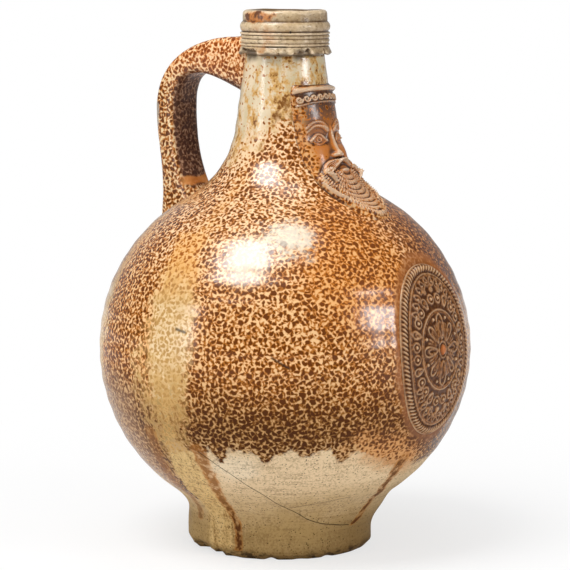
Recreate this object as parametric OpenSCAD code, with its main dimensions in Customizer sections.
// Salt-glazed stoneware jug with a bearded mask on its neck and a medallion on its belly.
// Millimetres, +Z up. The origin is on the turning axis, on the underside of the foot.
// The mask and the medallion look along -Y, and the handle stands on the +Y side.

/* [Body] */
// Height of the whole jug
jug_h = 220; // [214:1:230]
// Radius of the belly at its widest
belly_r = 76.4; // [73:0.1:80]
// Height of the belly's widest ring
belly_z = 82; // [79:0.5:86]
// Radius of the belly's curve, seen from the side
belly_curve_r = 70; // [67:0.5:73]
// Radius of the foot
foot_r = 37.5; // [33:0.5:41]
// Radius of the hollow curve between foot and belly
foot_curve_r = 24; // [12:1:30]
// Bevel round the lower edge of the foot
foot_bevel = 2; // [0.5:0.1:3]
// Angle by which the neck leans out on its way down
neck_lean = 8; // [6:0.5:10]
// Radius of the hollow curve between neck and shoulder
neck_curve_r = 39; // [34:0.5:44]
// Thickness of the thrown wall
wall_t = 4.5; // [3.5:0.1:5.5]
// Thickness of the floor
floor_t = 9; // [6:0.5:13]

/* [Collar] */
// Radius of the mouth
mouth_r = 11.5; // [10:0.1:13]
// Height of the collar
collar_h = 18; // [17:0.5:21]
// Thickness of the collar at its plain lip
lip_t = 5.7; // [5:0.1:6.5]
// Rounding of the lip's two edges
lip_round = 1.5; // [0.8:0.1:1.9]
// Height of the flared lower band
flare_h = 4; // [3:0.1:5]
// How far the flared band's lower edge stands out from the lip
flare_out = 1.8; // [1.2:0.1:2.6]
// Height of one thin ridge
ridge_h = 0.9; // [0.6:0.1:1.2]
// How far a thin ridge stands out from the lip
ridge_out = 1; // [0.9:0.1:1.5]
// Height of the flat band between the ridges
band_h = 2.4; // [1.8:0.1:3]
// How far the flat band stands out from the lip
band_out = 0.6; // [0.3:0.1:0.8]
// Height of the rounded band under the lip
bulge_h = 4.6; // [3.6:0.1:5]
// How far the rounded band stands out from the lip
bulge_out = 1; // [0.6:0.1:1.6]

/* [Handle] */
// Distance from the axis to the outside of the arm
handle_reach = 62.5; // [59:0.5:66]
// Width of the strap
handle_w = 17; // [13:0.5:21]
// Thickness of the arm
handle_t = 12.5; // [10:0.5:14]
// Drop from the mouth to the top of the root
handle_drop = 10.8; // [9:0.1:13]
// Height of the root where it meets the neck
root_h = 25; // [22:0.5:27]
// Drop from the top of the root to where the arm hangs upright
arm_drop = 31; // [28:0.5:34]
// How far the tail spreads inwards over the shoulder
tail_spread = 14; // [9:0.5:16]
// Depth of the flute along the outside of the strap
flute_d = 0.9; // [0.3:0.1:1.5]

/* [Mask] */
// Drop from the collar to the top edge of the mask
mask_drop = 11.5; // [10:0.5:14]
// Width of the mask across the cheeks
mask_w = 31; // [27:0.5:34]
// Length of the mask along the clay, from the hair to the tip of the beard
mask_l = 66; // [60:1:70]
// Thickness of the mask's pad
mask_t = 1.4; // [1:0.1:2]
// Height of the nose above the pad
nose_h = 3.6; // [2.5:0.1:4.5]
// Pitch of the combed locks in the beard
lock_pitch = 3.1; // [2.6:0.1:4]

/* [Medallion] */
// Height of the medallion's middle
medal_z = 87.4; // [84:0.2:91]
// Width of the medallion along the clay
medal_w = 48; // [42:0.5:52]
// Length of the medallion along the clay
medal_l = 70.6; // [62:0.2:74]
// Thickness of the medallion's pad
medal_t = 1.3; // [0.9:0.1:1.8]
// Height of the relief above the pad
relief_h = 1.1; // [0.6:0.1:1.6]
// Number of bars in the rope border
rope_bars = 100; // [80:2:120]
// Number of petals in the rosette
petals = 8; // [6:1:10]
// Number of bosses between the rosette and the border
bosses = 14; // [10:1:16]

/* [Hidden] */
$fn = 96;
// Seam of slip between the sprigs and the body
lute = 0.05;
// Least turn and least distance between two points of a side curve
arc_step = 3;
arc_chord = 0.3;

// Collar, neck and curves of the thrown body
collar_z = jug_h - collar_h;
lip_r = mouth_r + lip_t;
neck_top = [mouth_r + wall_t / cos(neck_lean), collar_z];
neck_down = [sin(neck_lean), -cos(neck_lean)];
neck_out = [cos(neck_lean), sin(neck_lean)];
belly_at = [belly_r - belly_curve_r, belly_z];
neck_side = neck_top + neck_curve_r * neck_out - belly_at;
neck_slide = neck_side * neck_down;
neck_len = -neck_slide
  - sqrt(neck_slide ^ 2 - neck_side * neck_side + (belly_curve_r + neck_curve_r) ^ 2);
neck_at = neck_top + neck_curve_r * neck_out + neck_len * neck_down;
neck_turn = atan2(neck_at[1] - belly_at[1], neck_at[0] - belly_at[0]);
foot_x = foot_r + foot_curve_r;
foot_at = [foot_x, belly_z - sqrt((belly_curve_r + foot_curve_r) ^ 2 - (foot_x - belly_at[0]) ^ 2)];
foot_turn = atan2(foot_at[1] - belly_at[1], foot_at[0] - belly_at[0]);

function radians(a) = a * PI / 180;
function degrees(a) = a * 180 / PI;
// Smooth hill, 1 in the middle and 0 from w outwards
function hill(d, w) = abs(d) >= w ? 0 : (1 + cos(180 * d / w)) / 2;
// Smooth step from 0 at a to 1 at b
function step_up(x, a, b) = let (t = min(1, max(0, (x - a) / (b - a)))) t * t * (3 - 2 * t);
function cubic(p, t) =
  (1 - t) ^ 3 * p[0] + 3 * t * (1 - t) ^ 2 * p[1] + 3 * t ^ 2 * (1 - t) * p[2] + t ^ 3 * p[3];
// Points on an arc from angle a to angle b, without the first
function arc(c, r, a, b) =
  let (n = ceil(abs(b - a) / max(arc_step, degrees(arc_chord / r))))
  [for (i = [1 : n]) c + r * [cos(a + (b - a) * i / n), sin(a + (b - a) * i / n)]];
// Angle on a foot curve of radius r at height z, or its lowest tangent where z lies under that
function foot_angle(r, z) = 180 - asin(max(0, z - foot_at[1]) / r);

// Side curve of the clay from height z up to the collar, at distance d outside the skin
function side(d, z) =
  let (r = foot_curve_r - d, a = foot_angle(r, z))
  concat(
    [foot_at + r * [cos(a), sin(a)]],
    arc(foot_at, r, a, 180 + foot_turn),
    arc(belly_at, belly_curve_r + d, foot_turn, neck_turn),
    arc(neck_at, neck_curve_r - d, 180 + neck_turn, 180 + neck_lean),
    [neck_top + [d / cos(neck_lean), 0]]);
function reversed(p) = [for (i = [len(p) - 1 : -1 : 0]) p[i]];

outside = side(0, foot_bevel);
inside = side(-wall_t, floor_t);
foot_edge = concat(
  [[outside[0][0] - foot_bevel, 0]],
  foot_at[1] > foot_bevel ? [[foot_r, foot_bevel]] : []);
floor_edge = foot_at[1] > floor_t ? [[foot_r - wall_t, floor_t]] : [];

// Lengths down the skin from the collar, and the skin's place and outward direction there
neck_arc_len = neck_curve_r * radians(neck_turn - neck_lean);
belly_start = neck_len + neck_arc_len;
function skin(s) =
  s < neck_len ? [neck_top + s * neck_down, neck_out] :
  s < belly_start ?
    let (a = neck_lean + degrees((s - neck_len) / neck_curve_r), d = [cos(a), sin(a)])
    [neck_at - neck_curve_r * d, d] :
  let (a = neck_turn - degrees((s - belly_start) / belly_curve_r), d = [cos(a), sin(a)])
  [belly_at + belly_curve_r * d, d];
// Point u across the front and s down the skin, at height h above it
function on_skin(u, s, h) =
  let (k = skin(s), p = k[0] + h * k[1], a = degrees(u / k[0][0]))
  [p[0] * sin(a), -p[0] * cos(a), p[1]];

// Thrown vessel: foot, belly, shoulder and neck with an open hollow
module jug_body() {
  color("peru")
    rotate_extrude()
      polygon(concat(
        [[0, 0]], foot_edge, outside,
        reversed(inside), floor_edge, [[0, floor_t]]));
}

// Bulging band of height h whose middle stands a distance out from radius r
function bead(r, z, h, out) =
  let (bow = (h * h / 4 + out * out) / (2 * out), half = asin(h / 2 / bow))
  concat([[r, z]], arc([r + out - bow, z + h / 2], bow, -half, half));

flare_top = collar_z + flare_h;
band_z = flare_top + 2 * ridge_h;
upper_ridge_z = band_z + band_h;
bulge_z = upper_ridge_z + ridge_h;
collar_outline = concat(
  [[mouth_r, collar_z], [lip_r + flare_out - lip_round / 2, collar_z]],
  [[lip_r + flare_out, collar_z + lip_round / 2], [lip_r + band_out, flare_top]],
  bead(lip_r + band_out, flare_top, ridge_h, ridge_out - band_out),
  bead(lip_r + band_out, flare_top + ridge_h, ridge_h, ridge_out - band_out),
  [[lip_r + band_out, upper_ridge_z]],
  bead(lip_r + band_out / 2, upper_ridge_z, ridge_h, ridge_out - band_out / 2),
  bead(lip_r, bulge_z, bulge_h, bulge_out),
  [[lip_r, jug_h - lip_round]],
  arc([lip_r - lip_round, jug_h - lip_round], lip_round, 0, 90),
  [[mouth_r + lip_round, jug_h]],
  arc([mouth_r + lip_round, jug_h - lip_round], lip_round, 90, 180));
collar_skin = [for (p = collar_outline) if (p[0] >= lip_r - lip_round) p];
// Outline without points that repeat the one before
function without_repeats(p) =
  [for (i = [0 : len(p) - 1]) if (i == 0 || norm(p[i] - p[i - 1]) > 0.001) p[i]];

// Reeded ring that ends the neck and holds the mouth
module rim_collar() {
  color("burlywood")
    rotate_extrude()
      polygon(without_repeats(collar_outline));
}

// Solid skinned over a list of rings, closed by a fan at each end
module skinned(rings) {
  n = len(rings[0]);
  last = len(rings) - 1;
  walls = [for (i = [0 : last - 1], k = [0 : n - 1])
    let (a = i * n + k, b = i * n + (k + 1) % n)
    each [[a, a + n, b], [b, a + n, b + n]]];
  first_cap = [for (k = [1 : n - 2]) [0, k, k + 1]];
  last_cap = [for (k = [1 : n - 2]) [last * n, last * n + k + 1, last * n + k]];
  polyhedron([for (r = rings) each r], concat(first_cap, walls, last_cap), convexity = 6);
}

// Side view of the strap: its outer and inner curves, each from root to arm and from arm to tail
root_z = jug_h - handle_drop;
root_r = mouth_r + wall_t / 3;
arm_z = root_z - arm_drop;
arm_in = handle_reach - handle_t;
bow = handle_reach - root_r;
// Height of the belly's upper side at distance r from the axis
function belly_top(r) = belly_z + sqrt(belly_curve_r ^ 2 - (r - belly_at[0]) ^ 2);
tail_out = handle_reach - 0.02 * bow;
tail_in = arm_in - tail_spread;
// Depth to which the strap runs into the shoulder before it is cut to seat there
tail_sink = 4;
outer_root = [
  [root_r, root_z], [root_r + 0.56 * bow, root_z + 0.05 * arm_drop],
  [handle_reach, root_z - 0.3 * arm_drop], [handle_reach, arm_z]];
outer_tail = [
  [handle_reach, arm_z], [handle_reach, arm_z - 0.5 * arm_drop],
  [handle_reach - 0.11 * bow, arm_z - 0.75 * arm_drop], [tail_out, belly_top(tail_out) - tail_sink]];
inner_root = [
  [root_r, root_z - root_h], [root_r + 0.36 * bow, root_z - 0.72 * root_h],
  [arm_in + 0.01 * bow, root_z - 0.2 * arm_drop], [arm_in, arm_z]];
inner_tail = [
  [arm_in, arm_z], [arm_in, arm_z - 0.5 * arm_drop],
  [arm_in - 0.14 * tail_spread, arm_z - 0.9 * arm_drop], [tail_in, belly_top(tail_in) - 2 * tail_sink]];

strap_sides = 22;
strap_rings = 18;
corner_power = 0.55;
function squared(c) = sign(c) * abs(c) ^ corner_power;
// Rounded section of the strap between an outer and an inner point, with its flute
function strap_ring(out, in) = [for (k = [0 : strap_sides - 1])
  let (a = 360 * k / strap_sides, across = squared(cos(a)), up = squared(sin(a)))
  let (half = (out - in) / 2, dip = up > 0 ? flute_d * hill(across, 0.7) / norm(half) : 0)
  let (p = (out + in) / 2 + half * (up - dip))
  [across * handle_w / 2, p[0], p[1]]];
function strap_run(outer, inner, first) = [for (i = [first : strap_rings])
  strap_ring(cubic(outer, i / strap_rings), cubic(inner, i / strap_rings))];
strap = concat(strap_run(outer_root, inner_root, 0), strap_run(outer_tail, inner_tail, 1));

// Pulled strap, cut to seat on the neck, the collar and the shoulder
module handle() {
  color("tan")
    difference() {
      skinned(strap);
      rotate_extrude()
        polygon(concat([[0, 0]], foot_edge, outside, [[0, collar_z]]));
      rotate_extrude()
        polygon(without_repeats(concat([[0, collar_z]], collar_skin, [[0, jug_h]])));
    }
}

mask_rows = 44;
mask_cols = 26;
// Half width of the mask at a distance v down from its top edge
function mask_half(v) =
  let (corner = 5, taper = 0.45 * mask_l, tip = 0.12 * mask_w)
  let (top = v < corner ? 1 - 0.12 * (1 - v / corner) ^ 2 : 1)
  v < taper ? mask_w / 2 * top :
  tip + (mask_w / 2 - tip) * sqrt(1 - ((v - taper) / (mask_l - taper)) ^ 2);

// Face on plain thirds: hairline, brow, base of the nose and chin, with the beard below
hair_v = 0.1 * mask_l;
chin_v = 0.66 * mask_l;
third = (chin_v - hair_v) / 3;
brow_v = hair_v + third;
nose_v = hair_v + 2 * third;
eye_v = brow_v + 0.28 * third;
mouth_v = nose_v + 0.4 * third;
eye_w = mask_w / 5;
function nose(u, v) =
  let (t = step_up(v, brow_v - 1, nose_v), bridge = step_up(v, brow_v - 2, brow_v + 2))
  let (end = step_up(nose_v + 1.8 - v, 0, 1.8))
  nose_h * (0.35 + 0.65 * t) * bridge * end * hill(u, eye_w * (0.35 + 0.35 * t));
function eyes(u, v) =
  let (x = (abs(u) - eye_w) / (0.55 * eye_w), y = (v - eye_v) / (0.34 * eye_w))
  1.2 * hill(norm([x, y]), 1) - 0.7 * hill(norm([x, y]), 2);
function brows(u, v) =
  let (x = (abs(u) - eye_w) / eye_w)
  1.3 * hill(v - brow_v + 1.4 * cos(80 * x), 1.7) * hill(x, 1.25);
function cheeks(u, v) = 1.1 * hill(norm([abs(u) - 1.35 * eye_w, v - nose_v + 1]), 1.2 * eye_w);
function moustache(u, v) =
  let (line = nose_v + 2.6 + 0.055 * u * u)
  1.8 * hill(v - line, 2.4) * step_up(mask_w * 0.38 - abs(u), 0, 3);
function lips(u, v) = 1.1 * hill(norm([u / 3.8, (v - mouth_v - 1) / 1.3]), 1);
function beard(u, v) =
  let (grown = step_up(v + 0.35 * abs(u), mouth_v + 1, chin_v), fan = u * (1 + 0.16 * sin(12 * v)))
  grown * (1.3 + 0.5 * cos(360 * fan / lock_pitch));
function hair(u, v) = (1 - step_up(v, hair_v - 2, hair_v)) * (0.8 + 0.5 * cos(360 * u / lock_pitch));
function mask_relief(u, v) =
  mask_t + nose(u, v) + eyes(u, v) + brows(u, v) + cheeks(u, v)
    + max(moustache(u, v), lips(u, v)) + beard(u, v) + hair(u, v);

// Closed solid between a front and a back sheet of rows
module sheet_solid(front, back) {
  rows = len(front);
  cols = len(front[0]);
  sheet = rows * cols;
  cells = [for (i = [0 : rows - 2], k = [0 : cols - 2]) i * cols + k];
  front_faces = [for (a = cells) each [[a, a + 1, a + cols], [a + 1, a + cols + 1, a + cols]]];
  back_faces = [for (f = front_faces) [f[0] + sheet, f[2] + sheet, f[1] + sheet]];
  edge = concat(
    [for (k = [0 : cols - 2]) k],
    [for (i = [0 : rows - 2]) i * cols + cols - 1],
    [for (k = [cols - 1 : -1 : 1]) (rows - 1) * cols + k],
    [for (i = [rows - 1 : -1 : 1]) i * cols]);
  edge_faces = [for (i = [0 : len(edge) - 1])
    let (a = edge[i], b = edge[(i + 1) % len(edge)])
    each [[a, a + sheet, b], [b, a + sheet, b + sheet]]];
  points = concat([for (r = front) each r], [for (r = back) each r]);
  polyhedron(points, concat(front_faces, back_faces, edge_faces), convexity = 6);
}

// Moulded mask, laid over the neck and the shoulder
module face_mask() {
  function sheet(raised) = [for (i = [0 : mask_rows])
    let (v = mask_l * i / mask_rows, half = mask_half(v))
    [for (k = [0 : mask_cols])
      let (u = half * (2 * k / mask_cols - 1), rim = min(i, mask_rows - i, k, mask_cols - k))
      let (h = raised ? (rim == 0 ? mask_t / 2 : mask_relief(u, v)) : lute)
      on_skin(u, mask_drop + v, h)]];
  color("goldenrod")
    sheet_solid(sheet(true), sheet(false));
}

// Zones of the medallion as shares of the way from its middle to its edge
rope_in = 0.86;
rope_out = 0.96;
oval_line = 0.8;
ring_line = 0.44;
petal_end = 0.4;
boss_line = 0.62;
function line(p, at) = hill(p - at, 0.03);
function rope(p, a) =
  let (mid = (rope_in + rope_out) / 2, x = (p - mid) / (rope_out - rope_in) * 2)
  hill(x, 1.4) * (0.75 + 0.25 * cos(a * rope_bars));
function rosette(p, a) =
  hill(p, 0.12) + 0.9 * step_up(p, 0.1, 0.16) * (1 - step_up(p, petal_end - 0.08, petal_end))
    * (0.5 + 0.5 * cos(a * petals));
function row_of_bosses(p, a) =
  hill(p - boss_line, 0.1) * (0.5 + 0.5 * cos(a * bosses)) ^ 2;
function medal_relief(p, a) =
  medal_t + relief_h * (rope(p, a) + 0.9 * line(p, oval_line) + line(p, ring_line)
    + rosette(p, a) + 0.9 * row_of_bosses(p, a));

medal_turn = asin((medal_z - belly_z) / belly_curve_r);
medal_s = belly_start + belly_curve_r * radians(neck_turn - medal_turn);
field_steps = [0.05, 0.1, 0.16, 0.24, 0.32, 0.38, 0.41, 0.44, 0.47, 0.54, 0.62, 0.7, 0.77, 0.8, 0.83];
border_steps = [0.855, 0.885, 0.91, 0.935, 0.965, 0.99];
back_steps = [1, 0.8, 0.6, 0.4, 0.2];
function medal_point(p, a, h) =
  on_skin(medal_w / 2 * p * sin(a), medal_s - medal_l / 2 * p * cos(a), h);
function medal_ring(p, n, raised) = [for (k = [0 : n - 1])
  let (a = 360 * k / n)
  medal_point(p, a, raised ? medal_relief(p, a) : lute)];
// Faces between two rings that start at points a and b, the second with as many points or twice as many
function ring_faces(a, n, b, m) = [for (k = [0 : n - 1])
  let (k2 = (k + 1) % n, p = a + k, q = a + k2)
  each m == n
    ? [[p, q, b + k], [q, b + k2, b + k]]
    : [[p, q, b + 2 * k + 1], [p, b + 2 * k + 1, b + 2 * k], [q, b + 2 * k2, b + 2 * k + 1]]];
function starts(sizes) = [for (i = 0, at = 0; i < len(sizes); at = at + sizes[i], i = i + 1) at];

// Moulded medallion, laid over the front of the belly
module medallion() {
  fine = 2 * rope_bars;
  rings = concat(
    [[medal_point(0, 0, medal_relief(0, 0))]],
    [for (p = field_steps) medal_ring(p, rope_bars, true)],
    [for (p = border_steps) medal_ring(p, fine, true)],
    [for (p = back_steps) medal_ring(p, fine / 2, false)],
    [[medal_point(0, 0, lute)]]);
  sizes = [for (r = rings) len(r)];
  at = starts(sizes);
  last = len(rings) - 1;
  faces = [for (i = [1 : last - 2])
    let (n = sizes[i], m = sizes[i + 1])
    each m >= n
      ? ring_faces(at[i], n, at[i + 1], m)
      : [for (f = ring_faces(at[i + 1], m, at[i], n)) [f[0], f[2], f[1]]]];
  first_fan = [for (k = [0 : rope_bars - 1]) [0, at[1] + (k + 1) % rope_bars, at[1] + k]];
  last_fan = [for (k = [0 : rope_bars - 1])
    [at[last], at[last - 1] + k, at[last - 1] + (k + 1) % rope_bars]];
  color("goldenrod")
    polyhedron([for (r = rings) each r], concat(first_fan, faces, last_fan), convexity = 6);
}

jug_body();
rim_collar();
handle();
face_mask();
medallion();
